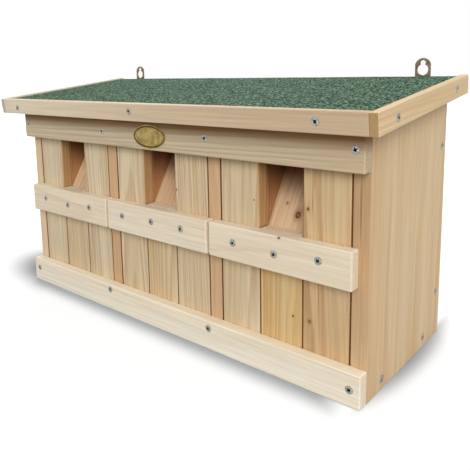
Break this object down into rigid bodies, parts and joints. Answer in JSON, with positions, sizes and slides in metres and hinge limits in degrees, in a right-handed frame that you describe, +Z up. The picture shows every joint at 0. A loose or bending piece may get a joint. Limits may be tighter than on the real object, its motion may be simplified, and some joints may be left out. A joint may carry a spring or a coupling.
{
  "type": "wooden sparrow nest box with three chambers",
  "caption": "Pine nest box for sparrows: chambers side by side under a felted lean-to roof, with slot entrances, slanted guards and lift-out front panels.",
  "frame": {"origin": "on the base, under the middle of the whole object", "axes": "+X along the front to the right as seen from the front, +Y from front to back, +Z up"},
  "size_m": [0.54, 0.2146, 0.2992],
  "materials": {
    "pine_wall": "planed, bare pine",
    "pine_front": "planed, bare pine",
    "pine_rail": "planed, bare pine, pale",
    "pine_trim": "planed, bare pine, pale",
    "pine_inner": "planed, bare pine, darker",
    "roofing_felt": "bitumen felt with green mineral granules",
    "hanger_plate": "passivated steel plate, dulled brown"
  },
  "bodies": {
    "box": {"side_wall_left": "pine_wall", "side_wall_right": "pine_wall", "partition_left": "pine_wall", "partition_right": "pine_wall", "back_wall": "pine_wall", "floor_board": "pine_wall", "bottom_rail": "pine_rail", "top_rail": "pine_rail", "roof_board": "pine_wall", "roof_felt": "roofing_felt", "roof_trim_front": "pine_trim", "roof_trim_left": "pine_trim", "roof_trim_right": "pine_trim", "hanger_left": "hanger_plate", "hanger_right": "hanger_plate"},
    "left_panel": {"left_board_left": "pine_front", "left_board_middle": "pine_front", "left_board_right": "pine_front", "left_cross_rail": "pine_rail", "left_guard": "pine_inner", "left_cheek_left": "pine_inner", "left_cheek_right": "pine_inner"},
    "middle_panel": {"middle_board_left": "pine_front", "middle_board_middle": "pine_front", "middle_board_right": "pine_front", "middle_cross_rail": "pine_rail", "middle_guard": "pine_inner", "middle_cheek_left": "pine_inner", "middle_cheek_right": "pine_inner"},
    "right_panel": {"right_board_left": "pine_front", "right_board_middle": "pine_front", "right_board_right": "pine_front", "right_cross_rail": "pine_rail", "right_guard": "pine_inner", "right_cheek_left": "pine_inner", "right_cheek_right": "pine_inner"}
  },
  "joints": [
    {"name": "left_panel_lift", "type": "slide", "parent": "box", "child": "left_panel", "axis": [0, 0, 1], "range_m": [0, 0.017]},
    {"name": "middle_panel_lift", "type": "slide", "parent": "box", "child": "middle_panel", "axis": [0, 0, 1], "range_m": [0, 0.017]},
    {"name": "right_panel_lift", "type": "slide", "parent": "box", "child": "right_panel", "axis": [0, 0, 1], "range_m": [0, 0.017]}
  ]
}
